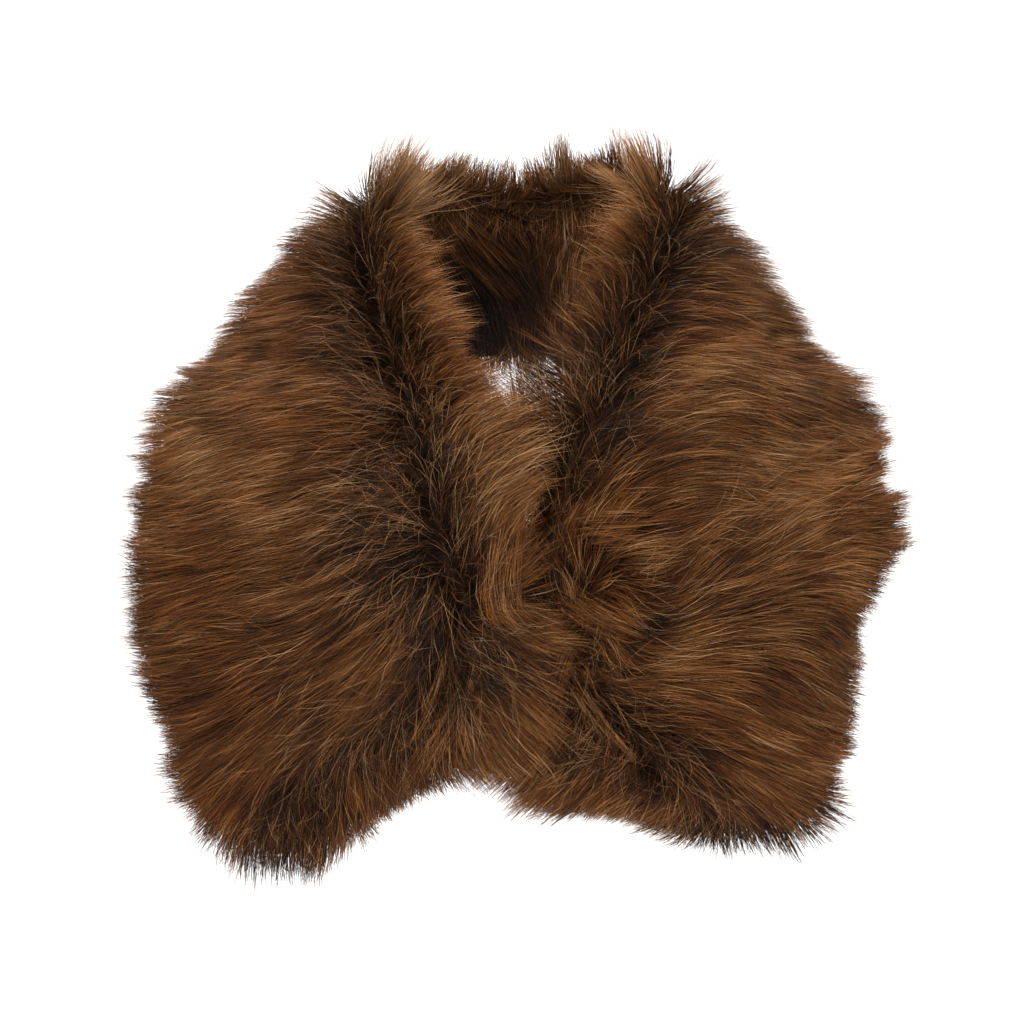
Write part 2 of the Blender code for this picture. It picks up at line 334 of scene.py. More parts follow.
# Unevenness of the pile from place to place
DRIFTS = {
    # name: amount, bump_m, seed
    "parting": (0.007, 0.012, 14),
    "neck_flow": (0.35, 0.05, 5),
    "stream_middle": (0.02, 0.05, 21),
    "rim_lean": (0.7, 0.018, 19),
    "broad_swing": (math.radians(12), 0.036, 7),
    "fine_swing": (math.radians(8), 0.014, 8),
    "length": (0.14, 0.030, 9),
    "root_lift": (7, 0.026, 10),
    "tip_lift": (1, 0.022, 12),
    "rim_inwards": (0.9, 0.016, 17),
    "rim_sway": (1, 0.014, 18),
    "broad_tint": (0.08, 0.060, 61),
    "fine_tint": (0.06, 0.018, 62),
    "inner_tint": (0.08, 0.04, 65),
    "broad_hue": (1, 0.045, 63),
    "fine_hue": (0.5, 0.015, 64),
    "pucker": (0.0012, 0.03, 71),
}

# Bands along the neck edge: where each begins and ends to fade, off the edge and along the strip
NECK_BANDS = {
    # name: from_m, to_m, from_at, to_at
    "inner_rim": (0.004, 0.017, 0.20, 0.40),
    "outer_rim": (0.0, 0.016, 0.18, 0.30),
    "close_hair": (0.003, 0.016, 0.22, 0.40),
    "throat": (0.004, 0.020, 0.44, 0.54),
}

# Where the neck's own way gives over to the fronts', along the strip to either side
FRONT_COMBING = (0.19, 0.32)
FRONT_LINING = (0.16, 0.34)
FRONT_EDGES = (0.20, 0.40)
FRONT_LENGTHS = (0.20, 0.30)
FRONT_PARTING = (0.10, 0.30)
PALE_NECK_EDGE = (0.22, 0.34)

# Streams of hair inside the neck, which lean towards a line beside its middle
STREAM_LEAN = 2.8
STREAM_MIDDLE = 0.012
STREAM_HALF_WIDTH = 0.040
STREAM_FADES = 0.75
LINING_LEAN = 0.5

# Where the seams are, and the lengths, lifts and shares of the hairs
SEAM_AT = 0.24
UNDER_HAIR = 0.027
NECK_HAIR = 0.040
BACKING_THICKNESS = 0.003
UNDER_ROOT_LIFT = 34.0
NECK_ROOT_LIFT = 24.0
UNDER_TIP_LIFT = 6.0
PARTING_SPREAD = 0.020
EDGE_REACH = 0.014
EDGE_OVERHANG = 0.0275
EDGE_FAN = 0.9
EDGE_LIFT = 0.8
OUTER_EDGE_TURN = 0.22
NECK_EDGE = 0
INNER_RUFFLING = 0.6
INNER_TUFTING = 0.4
FULL_UPRIGHT = 30
PARTED_ROOT_LIFT = 20
PARTED_TIP_LIFT = 12
CROSSING_SHARE = 0.50
CROSSING_REACH = 0.008
STRAY_SHARE = 0.04
STRAYS_IN_PARTING = 0.27
STRAYS_BY_EDGE = 0.10
GUARD_SHARE = 0.10
RAGGED_REACH = (0.006, 0.034)
BODY_LENGTHS = (0.45, 1.0, 1.12)
EDGE_LENGTHS = (0.30, 0.68, 1.32)
LARGEST_STRETCH = 0.36
ROOM_SHARE = 0.03
ROOM = 0.008
HAIR_STEPS = np.array([0.0, 0.34, 0.68, 1.0])
HAIR_WIDTHS = np.array([0.9, 1.0, 0.6, 0.0])

# Tints of the hairs: the usual one, how it spreads, and what changes it
BODY_TINT = 0.59
TINT_SPREAD = 0.16
SHORT_SHADE = 0.24
# Guard hairs are paler: the fur's pale tan hairs, and partly a painted highlight along the strands
GUARD_TINT = 0.20
# Hair along the neck edge is paler: its pale wisps, and partly painted light on the top edge
NECK_EDGE_TINT = 0.18
TUFT_TINT = 0.21
# Painted shade: darker hair in the partings and where the pile opens
PARTED_PAINTED_SHADE = 0.48
# Painted shade on the under faces of the fronts
LINING_PAINTED_SHADE = 0.16
# Paler hair at the very rim inside the neck: painted light where the neck's painted shade ends
INNER_RIM_TINT = 0.14
LEFT_CONTRAST = 1.4
NECK_CONTRAST = 1.5

# Where each hue starts on the map, and how wide it is there
BROWN_START = 0.01
RUSSET_START = 0.51
HUE_WIDTH = 0.48

# Colours of the hair's body from the darkest tint to the palest, and how they darken along a hair
BODY_TINTS = (
    # tint, brown, russet
    (0.0, (0.006, 0.0040, 0.0026), (0.006, 0.0038, 0.0024)),
    (0.2, (0.018, 0.0090, 0.0045), (0.021, 0.0082, 0.0036)),
    (0.4, (0.054, 0.0190, 0.0058), (0.063, 0.0198, 0.0054)),
    (0.6, (0.112, 0.0400, 0.0098), (0.132, 0.0408, 0.0085)),
    (0.8, (0.210, 0.0930, 0.0290), (0.230, 0.0870, 0.0225)),
    (1.0, (0.370, 0.2120, 0.1020), (0.375, 0.1920, 0.0820)),
)
ALONG_SHADES = (
    (0.0, (0.10, 0.10, 0.10)),
    (0.35, (0.46, 0.45, 0.44)),
    (0.60, (0.92, 0.91, 0.90)),
    (0.85, (0.96, 0.97, 0.98)),
    (1.0, (0.86, 0.92, 1.00)),
)
BACKING_SHADES = ((0.3, (0.010, 0.005, 0.003)), (0.75, (0.026, 0.013, 0.007)))
PAPER_SHADES = ((0.0, (0.90, 0.90, 0.90)), (1.0, (0.93, 0.93, 0.93)))

# The meshes of hair
PILES = (
    # name, stretch, face, region, hairs, width_m, seed
    ("right_front_pile", "right_front", "outer", "panel", 39600, 0.00042, 11),
    ("right_front_roll", "right_front", "outer", "roll", 18000, 0.00042, 12),
    ("right_front_under", "right_front", "inner", "all", 10000, 0.00085, 13),
    ("left_front_pile", "left_front", "outer", "panel", 39600, 0.00042, 21),
    ("left_front_roll", "left_front", "outer", "roll", 16000, 0.00042, 22),
    ("left_front_under", "left_front", "inner", "all", 10000, 0.00085, 23),
    ("neck_outer_pile", "neck_stretch", "outer", "all", 31000, 0.00046, 31),
    ("neck_inner_pile", "neck_stretch", "inner", "all", 22000, 0.00046, 32),
)

# Where each stretch runs along the strip
STRETCHES = {
    # stretch: from, to
    "right_front": (-1.0, -SEAM_AT),
    "left_front": (SEAM_AT, 1.0),
    "neck_stretch": (-SEAM_AT, SEAM_AT),
}

# The backing cloths and their flat sizes in metres
CUTS = {
    # stretch: name, steps_along, steps_across, flat, area
    "right_front": ("right_front_backing", 56, 30, (0.27, 0.47), 0.080),
    "left_front": ("left_front_backing", 56, 30, (0.265, 0.48), 0.081),
    "neck_stretch": ("neck_backing", 56, 24, (0.165, 0.45), 0.062),
}

# Soft boxes: sizes in metres and power in watts
LIGHTS = (
    # name, place, aim, size, power
    ("key_light", (-1.3, -2.4, 1.9), (0, 0, -0.1), (1.3, 1.3), 105),
    ("fill_light", (1.9, -2.2, 0.7), (0, 0, -0.1), (1.6, 1.6), 45),
    ("top_light", (0.0, 0.6, 2.4), (0, 0, 0), (1.8, 1.2), 45),
    ("backdrop_light", (0.0, 1.2, 3.2), (0, 3.2, 0.3), (3.5, 1.0), 130),
)

# The sweep of the studio's floor, and where the camera looks from
FLOOR_LEVEL = -0.95
SWEEP_FROM = 2.2
SWEEP_RADIUS = 1.2
CAMERA_HEIGHT = 10
CAMERA_TARGET = (0.0, -0.02, -0.13)
CAMERA_REACH = 2.4
SENSOR_WIDTH = 36

# The photograph's width in pixels by its pixels for each metre of the scarf
SEEN_WIDTH = 1024 / 1515


def eased(value, low, high):
    """0 below low, 1 above high, smooth between."""
    t = np.clip((value - low) / (high - low), 0, 1)
    return t * t * (3 - 2 * t)


def unit(v):
    """The vectors at a length of 1."""
    return v / np.maximum(np.linalg.norm(v, axis=-1, keepdims=True), 1e-9)


def blend(table, at):
    """The table's columns at each place, eased from row to row with a smooth slope."""
    rows = np.array(table, float)
    place = rows[:, 0]
    value = rows[:, 1:]
    slope = np.gradient(value, place, axis=0)
    at = np.asarray(at, float)
    row = np.clip(np.searchsorted(place, at, side="right") - 1, 0, len(place) - 2)
    step = (place[row + 1] - place[row])[..., None]
    t = (at - place[row])[..., None] / step
    start = (2 * t**3 - 3 * t**2 + 1) * value[row] + (t**3 - 2 * t**2 + t) * step * slope[row]
    end = (3 * t**2 - 2 * t**3) * value[row + 1] + (t**3 - t**2) * step * slope[row + 1]
    return start + end


def surface(at, across):
    """The strip's own surface in metres: across is 0 at the neck edge and 1 at the outer edge."""
    at, across = np.broadcast_arrays(np.asarray(at, float), np.asarray(across, float))
    rows = blend(SECTIONS, at) / 1000
    v = across[..., None]
    neck, middle, outer = rows[..., 0:3], rows[..., 3:6], rows[..., 6:9]
    return neck * (1 - v) * (1 - 2 * v) + middle * 4 * v * (1 - v) + outer * v * (2 * v - 1)


def strip_frame(at, across):
    """Unit directions along, across and away from the wearer, and metres for a unit step each way."""
    small = 1e-3
    along = (surface(at + small, across) - surface(at - small, across)) / (2 * small)
    side = (surface(at, across + small) - surface(at, across - small)) / (2 * small)
    along_size = np.linalg.norm(along, axis=-1)
    side_size = np.linalg.norm(side, axis=-1)
    return unit(along), unit(side), unit(np.cross(along, side)), along_size, side_size


PLACE = np.linspace(-1.1, 1.1, 881)
MIDDLE_LINE = surface(PLACE, np.full_like(PLACE, 0.5))
RUN = np.concatenate([[0], np.cumsum(np.linalg.norm(np.diff(MIDDLE_LINE, axis=0), axis=1))])
RUN = RUN - np.interp(0.0, PLACE, RUN)
CROSS_LINES = surface(PLACE[:, None], np.linspace(0, 1, 21)[None, :])
WIDTHS = np.linalg.norm(np.diff(CROSS_LINES, axis=1), axis=2).sum(axis=1)


def run_of(at):
    """Metres along the strip's middle line from the back of the neck."""
    return np.interp(at, PLACE, RUN)


def place_of(run):
    """The place whose distance along the middle line is given."""
    return np.interp(run, RUN, PLACE)


def width_of(at):
    """The strip's width in metres, along its own curve."""
    return np.interp(at, PLACE, WIDTHS)


def hashed(a, b, seed):
    """An even spread of numbers from 0 to 1 for whole numbers a and b."""
    a, b = np.broadcast_arrays(a, b)
    a = a.astype(np.int64).astype(np.uint64)
    b = b.astype(np.int64).astype(np.uint64)
    mixed = a * np.uint64(0x9E3779B97F4A7C15) + b * np.uint64(0xC2B2AE3D27D4EB4F)
    mixed = mixed + np.uint64(seed * 7919 + 13)
    mixed ^= mixed >> np.uint64(29)
    mixed *= np.uint64(0xBF58476D1CE4E5B9)
    mixed ^= mixed >> np.uint64(32)
    mixed *= np.uint64(0x94D049BB133111EB)
    mixed ^= mixed >> np.uint64(31)
    return (mixed >> np.uint64(11)).astype(float) / float(1 << 53)


def wander(x, y, size, seed):
    """Smooth noise from -1 to 1 with bumps of about the given size."""
    x = x / size
    y = y / size
    fx = np.floor(x)
    fy = np.floor(y)
    tx = eased(x - fx, 0, 1)
    ty = eased(y - fy, 0, 1)
    low = hashed(fx, fy, seed) * (1 - tx) + hashed(fx + 1, fy, seed) * tx
    high = hashed(fx, fy + 1, seed) * (1 - tx) + hashed(fx + 1, fy + 1, seed) * tx
    return 2 * (low * (1 - ty) + high * ty) - 1


def drift(name, run, over):
    """The named unevenness at each place."""
    amount, bump, seed = DRIFTS[name]
    return amount * wander(run, over, bump, seed)


def by_neck_edge(band, at, over):
    """How far inside a band of the neck edge each point is, from 1 to 0."""
    near, far, first, last = NECK_BANDS[band]
    return (1 - eased(over, near, far)) * (1 - eased(np.abs(at), first, last))


def lock_centre(x, y, size, seed):
    """The nearest of the uneven lock centres to each point, and a number that names it."""
    cx = np.floor(x / size)
    cy = np.floor(y / size)
    best = np.full(x.shape, np.inf)
    near_x = np.zeros_like(x)
    near_y = np.zeros_like(y)
    name = np.zeros_like(x)
    for dx in (-1, 0, 1):
        for dy in (-1, 0, 1):
            px = (cx + dx + 0.1 + 0.8 * hashed(cx + dx, cy + dy, seed)) * size
            py = (cy + dy + 0.1 + 0.8 * hashed(cx + dx, cy + dy, seed + 1)) * size
            far = (px - x) ** 2 + (py - y) ** 2
            closer = far < best
            best = np.where(closer, far, best)
            near_x = np.where(closer, px, near_x)
            near_y = np.where(closer, py, near_y)
            name = np.where(closer, hashed(cx + dx, cy + dy, seed + 2), name)
    return near_x, near_y, name


def combed_fall(table, at, across, on_roll):
    """The angle that the comb table gives at each place, in radians."""
    rows = np.array(table, float)
    turn = np.radians(rows[:, 1:])
    level = blend(np.hstack([rows[:, :1], np.cos(turn)]), at)
    upright = blend(np.hstack([rows[:, :1], np.sin(turn)]), at)
    columns = np.arctan2(upright, level)
    roll = columns[:, 0]
    fall = np.empty(len(at))
    for low in range(len(COMB_ACROSS) - 1):
        share = np.clip((across - COMB_ACROSS[low]) / (COMB_ACROSS[low + 1] - COMB_ACROSS[low]), 0, 1)
        here = (across >= COMB_ACROSS[low]) | (low == 0)
        fall = np.where(here, columns[:, low + 1] * (1 - share) + columns[:, low + 2] * share, fall)
    return np.where(on_roll, roll, fall)


def near_places(table, at, across):
    """How near each point is to each row's place, from 1 to 0, with the row's other columns."""
    run = run_of(at)
    over = across * width_of(at)
    for row in table:
        far = (run - run_of(row[0])) ** 2 + (over - row[1] * width_of(row[0])) ** 2
        yield np.exp(-far / row[2] ** 2), row[3:]


def turned(direction, away, angle):
    """The direction turned about the surface's own upright."""
    other = np.cross(away, direction)
    return direction * np.cos(angle)[:, None] + other * np.sin(angle)[:, None]


def off_parting(at, across):
    """Metres from the parting, which wavers a little: more than 0 on the panel, less on the roll."""
    wide = width_of(at)
    waver = drift("parting", run_of(at), across * wide)
    return (across - blend(PARTING, at)[:, 0]) * wide + waver


def edges_at(at, across, along, side):
    """Metres to the neck edge, the outer edge and the end, the way out past each, and metres along it."""
    wide = width_of(at)
    run = run_of(at)
    over = across * wide
    sign = np.sign(at)
    to_end = np.where(sign > 0, run_of(1.0), -run_of(-1.0)) - np.abs(run)
    neck_edge = (over, -side, run)
    outer_edge = (wide - over, side, run + 3.0)
    end = (to_end, along * sign[:, None], over + 6.0 * sign)
    return neck_edge, outer_edge, end


def edge_tufts(place):
    """How much further or less far than usual the hair reaches past an edge, in uneven pointed tufts."""
    further = np.zeros_like(place)
    for pitch, tall, pointed, seed in EDGE_TUFTS:
        column = place / pitch
        column = column + 0.35 * np.sin(column * 1.3 + seed) + 0.2 * np.sin(column * 0.51 + seed)
        number = np.floor(column)
        peak = 1 - np.abs(2 * (column - number) - 1)
        further += tall * (2 * hashed(number, 0, seed) - 1) + pointed * (2 * peak - 1)
    return further


def flow_at(at, across, outer):
    """The way that the pile lies, the way that it faces, and how near an edge it is from 0 to 1."""
    along, side, away, _, _ = strip_frame(at, across)
    run = run_of(at)
    over = across * width_of(at)
    sign = np.where(at < 0, -1.0, 1.0)
    if outer:
        out = np.where(off_parting(at, across) >= 0, 1.0, -1.0)
        by_strip = side * out[:, None] + along * drift("neck_flow", run, over)[:, None]
        fronts = np.zeros_like(side)
        for sided, comb in ((-1, RIGHT_COMB), (1, LEFT_COMB)):
            mine = sign == sided
            if mine.any():
                fall = combed_fall(comb, at[mine], across[mine], out[mine] < 0)
                fronts[mine] = np.stack([sided * np.cos(fall), 0 * fall, -np.sin(fall)], axis=1)
        fronts = fronts - away * np.sum(fronts * away, axis=1, keepdims=True)
        fronts = unit(fronts) + side * (OUTER_EDGE_TURN * eased(across, 0.7, 1.0))[:, None]
        share = eased(np.abs(at), *FRONT_COMBING)[:, None]
        flow = unit(unit(by_strip) * (1 - share) + unit(fronts) * share)
        normal = away
    else:
        past_middle = run - STREAM_MIDDLE + drift("stream_middle", run, over)
        inwards = -STREAM_LEAN * np.clip(past_middle / STREAM_HALF_WIDTH, -1, 1)
        inwards = inwards * np.clip(1 - across / STREAM_FADES, 0.05, 1)
        share = eased(np.abs(at), *FRONT_LINING)
        lean = inwards * (1 - share) + sign * LINING_LEAN * share
        rim = by_neck_edge("inner_rim", at, over)
        lean = lean * (1 - rim) + drift("rim_lean", run, over) * rim
        flow = unit(side * (1 - 2 * rim)[:, None] + along * lean[:, None])
        normal = -away
    swing = drift("broad_swing", run, over) + drift("fine_swing", run, over)
    for near, (turn,) in near_places(RUFFLES, at, across):
        swing = swing + near * math.radians(turn) * (1.0 if outer else INNER_RUFFLING)
    flow = turned(flow, normal, swing)
    fan = np.zeros_like(side)
    edge = np.zeros_like(at)
    for kind, (far, way, _) in enumerate(edges_at(at, across, along, side)):
        near = 1 - eased(far, 0.0, EDGE_REACH)
        edge = np.maximum(edge, near)
        if not outer and kind == NECK_EDGE:
            near = near * eased(np.abs(at), *FRONT_EDGES)
        fan += way * near[:, None]
    return unit(flow + fan * EDGE_FAN), unit(normal + fan * EDGE_LIFT), edge


def pile_at(at, across, outer):
    """Where each hair is rooted, how it leaves and lies, its length, and how near the parting it is."""
    along, side, away, along_size, side_size = strip_frame(at, across)
    run = run_of(at)
    over = across * width_of(at)
    off_part = off_parting(at, across)
    flow, normal, edge = flow_at(at, across, outer)
    opened = eased(np.abs(at), *FRONT_PARTING)
    parted = np.exp(-((off_part / (PARTING_SPREAD * (0.6 + 0.4 * opened))) ** 2)) * (1 if outer else 0)
    parted = parted * (0.35 + 0.65 * opened)
    if outer:
        for near, (share,) in near_places(HOLLOWS, at, across):
            parted = np.maximum(parted, near * share)

    stand = blend(STAND, at)
    by_front = eased(np.abs(at), *FRONT_LENGTHS)
    length = np.where(off_part < 0, stand[:, 3], stand[:, 2]) / 1000
    if not outer:
        length = NECK_HAIR + (UNDER_HAIR - NECK_HAIR) * by_front
    length = length * (1 + drift("length", run, over)) * (1 - 0.25 * parted)
    root_lift = stand[:, 0] if outer else NECK_ROOT_LIFT + (UNDER_ROOT_LIFT - NECK_ROOT_LIFT) * by_front
    root_lift = root_lift + drift("root_lift", run, over) + PARTED_ROOT_LIFT * parted
    tip_lift = stand[:, 1] if outer else np.full_like(at, UNDER_TIP_LIFT)
    tip_lift = tip_lift + (7 + 0.3 * tip_lift) * drift("tip_lift", run, over) + PARTED_TIP_LIFT * parted
    for far, way, place in edges_at(at, across, along, side):
        facing = np.clip(np.sum(flow * way, axis=1), 0.12, 1)
        overhang = EDGE_OVERHANG * (1 + edge_tufts(place))
        length = np.minimum(length, (far + overhang) / facing)
    standing = np.zeros_like(at)
    for near, (longer, upright) in near_places(TUFTS, at, across):
        length = length * (1 + longer * near * (1.0 if outer else INNER_TUFTING))
        standing = standing + near * max(upright, 0) / FULL_UPRIGHT
        if outer:
            tip_lift = tip_lift + upright * near

    # The tip lies as the pile does where it reaches to, so long hair bends with the combing
    step = 0.55 * length
    tip_at = np.clip(at + np.sum(flow * along, axis=1) * step / along_size, -1.06, 1.06)
    tip_across = np.clip(across + np.sum(flow * side, axis=1) * step / side_size, -0.12, 1.12)
    tip_flow, tip_normal, _ = flow_at(tip_at, tip_across, outer)
    same_way = eased(np.sum(flow * tip_flow, axis=1), -0.2, 0.6)[:, None]
    tip_flow = unit(flow * (1 - same_way) + tip_flow * same_way)
    tip_normal = unit(normal * (1 - same_way) + tip_normal * same_way)

    root_turn = np.radians(root_lift)[:, None]
    tip_turn = np.radians(tip_lift)[:, None]
    leaves = flow * np.cos(root_turn) + normal * np.sin(root_turn)
    lies = tip_flow * np.cos(tip_turn) + tip_normal * np.sin(tip_turn)
    if outer:
        rim = by_neck_edge("outer_rim", at, over)
        inwards = rim * (0.35 + drift("rim_inwards", run, over)) * (1 - 0.6 * np.clip(standing, 0, 1))
        sway = 0.6 * rim * drift("rim_sway", run, over)
        lies = unit(lies) - away * inwards[:, None] + along * sway[:, None]
    lies = lies + np.array([0.0, 0.0, 1.0]) * (0.75 * np.clip(standing, 0, 1) - 0.10)[:, None]
    root = surface(at, across) + (away if outer else -away) * (BACKING_THICKNESS * 0.35)
    return root, unit(leaves), unit(lies), length, normal, flow, parted, edge


def hair_points(root, leaves, lies, length, bend):
    """Each hair's points at HAIR_STEPS: it leaves one way and turns evenly to the other."""
    t = HAIR_STEPS[None, :, None]
    way = leaves[:, None, :] * (t - t * t / 2) + lies[:, None, :] * (t * t / 2)
    return root[:, None, :] + way * length[:, None, None] + bend[:, None, :] * t * t


def trimmed(points):
    """Shortens the few hairs that would reach too far past the object's size."""
    low, high = (np.array(corner) for corner in cad_box)
    room = ROOM_SHARE * (high - low) + ROOM
    root = points[:, :1]
    reach = points - root
    above = (points - high - room) / np.maximum(reach, 1e-6) * (reach > 0)
    below = (low - room - points) / np.maximum(-reach, 1e-6) * (reach < 0)
    past = np.maximum(above, below)
    keep = 1 - np.clip(past.max(axis=(1, 2)), 0, 0.9)
    return root + reach * keep[:, None, None]


def lay_roots(low, high, outer, region, hairs, random):
    """Places of the hairs on the strip, even over its area and closer at the edges."""
    at_kept = []
    across_kept = []
    kept = 0
    while kept < hairs:
        at = random.uniform(low, high, hairs * 2)
        across = random.uniform(0, 1, hairs * 2)
        _, _, _, along_size, side_size = strip_frame(at, across)
        wide = width_of(at)
        off_part = off_parting(at, across)
        weight = along_size * side_size / LARGEST_STRETCH
        nearest = np.minimum(across, 1 - across) * wide
        nearest = np.minimum(nearest, np.abs(run_of(1.0 if high > 0.5 else -1.0) - run_of(at)))
        weight *= (0.38 + 0.38 * (1 - eased(nearest, 0.004, 0.018)))
        weight *= (1 + 0.8 * by_neck_edge("close_hair", at, across * wide))
        if outer:
            weight *= (1 + 1.3 * np.exp(-((off_part / 0.009) ** 2)))
        if region == "panel":
            weight *= (off_part >= 0)
        if region == "roll":
            weight *= (off_part < 0)
        take = random.uniform(0, 1, hairs * 2) < np.clip(weight, 0, 1)
        at_kept.append(at[take])
        across_kept.append(across[take])
        kept += int(take.sum())
    return np.concatenate(at_kept)[:hairs], np.concatenate(across_kept)[:hairs]


def gather(points, at, across, outer, loose, level):
    """Draws the hairs of each lock to its middle hair, which the broader locks have drawn before."""
    size, pull, sideways, turn, rise, shade, painted_gap_shade, seed = LOCKS[level]
    run = run_of(at)
    over = across * width_of(at)
    lock_run, lock_over, name = lock_centre(run, over, size, seed)
    _, first, lock = np.unique(name, return_index=True, return_inverse=True)
    off_centre = ((lock_run - run) ** 2 + (lock_over - over) ** 2) / size**2

    name = name[first]
    other = np.mod(name * 7.13, 1.0)
    third = np.mod(name * 31.7, 1.0)
    mid_at = np.clip(place_of(lock_run[first]), at.min(), at.max())
    mid_across = np.clip(lock_over[first] / width_of(mid_at), 0, 1)
    root, leaves, lies, length, normal, flow, _, _ = pile_at(mid_at, mid_across, outer)
    bend = np.cross(normal, flow) * ((name - 0.5) * 2 * sideways)[:, None]
    swing = math.radians(turn) * 2 * (third - 0.5)
    lies = unit(turned(lies, normal, swing) + normal * ((other - 0.45) * rise)[:, None])
    middle = hair_points(root, leaves, lies, length * (0.82 + 0.36 * other), bend)
    tint = shade * (name - 0.5)
    if level > 0:
        middle, broader = gather(middle, mid_at, mid_across, outer, np.ones(len(name)), level - 1)
        tint = tint + broader
    drawn = (pull * loose)[:, None] * HAIR_STEPS[None, :] ** 1.15
    points = points + (middle[lock] - points) * drawn[:, :, None]
    # Hair away from its lock's middle is painted darker: painted shade in the gaps between the locks
    return points, tint[lock] - painted_gap_shade * (off_centre - 0.15)


def hair_mesh(name, points, width, facing, tint, russet):
    """One mesh of all the hairs, each a ribbon that tapers to its tip, with the map of their colours."""
    count, steps, _ = points.shape
    tangent = unit(np.gradient(points, axis=1))
    across = unit(np.cross(tangent, facing[:, None, :]))
    half = across * (width[:, None] * HAIR_WIDTHS[None, :] / 2)[:, :, None]
    left = points - half
    right = points + half
    rows = [np.stack([left[:, k], right[:, k]], axis=1) for k in range(steps - 1)]
    corners = np.concatenate(rows + [points[:, -1:]], axis=1)
    per_hair = corners.shape[1]

    loop = []
    for k in range(steps - 2):
        loop += [2 * k, 2 * k + 1, 2 * k + 3, 2 * k + 2]
    loop += [2 * steps - 4, 2 * steps - 3, 2 * steps - 2]
    loop = np.array(loop)
    starts = np.array([4 * k for k in range(steps - 2)] + [4 * (steps - 2)])
    first = (np.arange(count) * per_hair)[:, None]
    loops = (first + loop[None, :]).ravel()
    loop_starts = ((np.arange(count) * len(loop))[:, None] + starts[None, :]).ravel()

    mesh = bpy.data.meshes.new(name)
    mesh.vertices.add(count * per_hair)
    mesh.vertices.foreach_set("co", corners.astype(np.float32).ravel())
    mesh.loops.add(len(loops))
    mesh.loops.foreach_set("vertex_index", loops.astype(np.int32))
    mesh.polygons.add(len(loop_starts))
    mesh.polygons.foreach_set("loop_start", loop_starts.astype(np.int32))
    mesh.polygons.foreach_set("use_smooth", np.ones(len(loop_starts), bool))
    mesh.update(calc_edges=True)

    level = np.concatenate([np.repeat(HAIR_STEPS[: steps - 1], 2), [1.0]])
    lean = np.array([-1.0, 1.0] * (steps - 1) + [0.0]) * 0.002
    hue_start = np.where(russet, RUSSET_START, BROWN_START)
    u = (hue_start + HUE_WIDTH * np.clip(tint, 0, 1))[:, None] + lean[None, :]
    v = np.broadcast_to(0.02 + 0.96 * level, u.shape)
    corner_map = np.stack([u, v], axis=2).reshape(-1, 2)
    layer = mesh.uv_layers.new(name="OFBake")
    layer.data.foreach_set("uv", corner_map[loops].astype(np.float32).ravel())

    piece = bpy.data.objects.new(name, mesh)
    bpy.context.scene.collection.objects.link(piece)
    return piece


def painted_neck_shade(across, run, over):
    """The painted shade inside the neck, as how much darker the hair is: darkest deep in the neck on the
    wearer's right.
    """
    painted_shade = 0.24 + 0.14 * eased(across, 0.3, 0.55) * (1 - eased(run, 0.0, 0.04))
    painted_shade = painted_shade - 0.12 * eased(run, 0.0, 0.04) * (1 - eased(across, 0.4, 0.7))
    return painted_shade - 0.06 * (1 - eased(over, 0.006, 0.030))


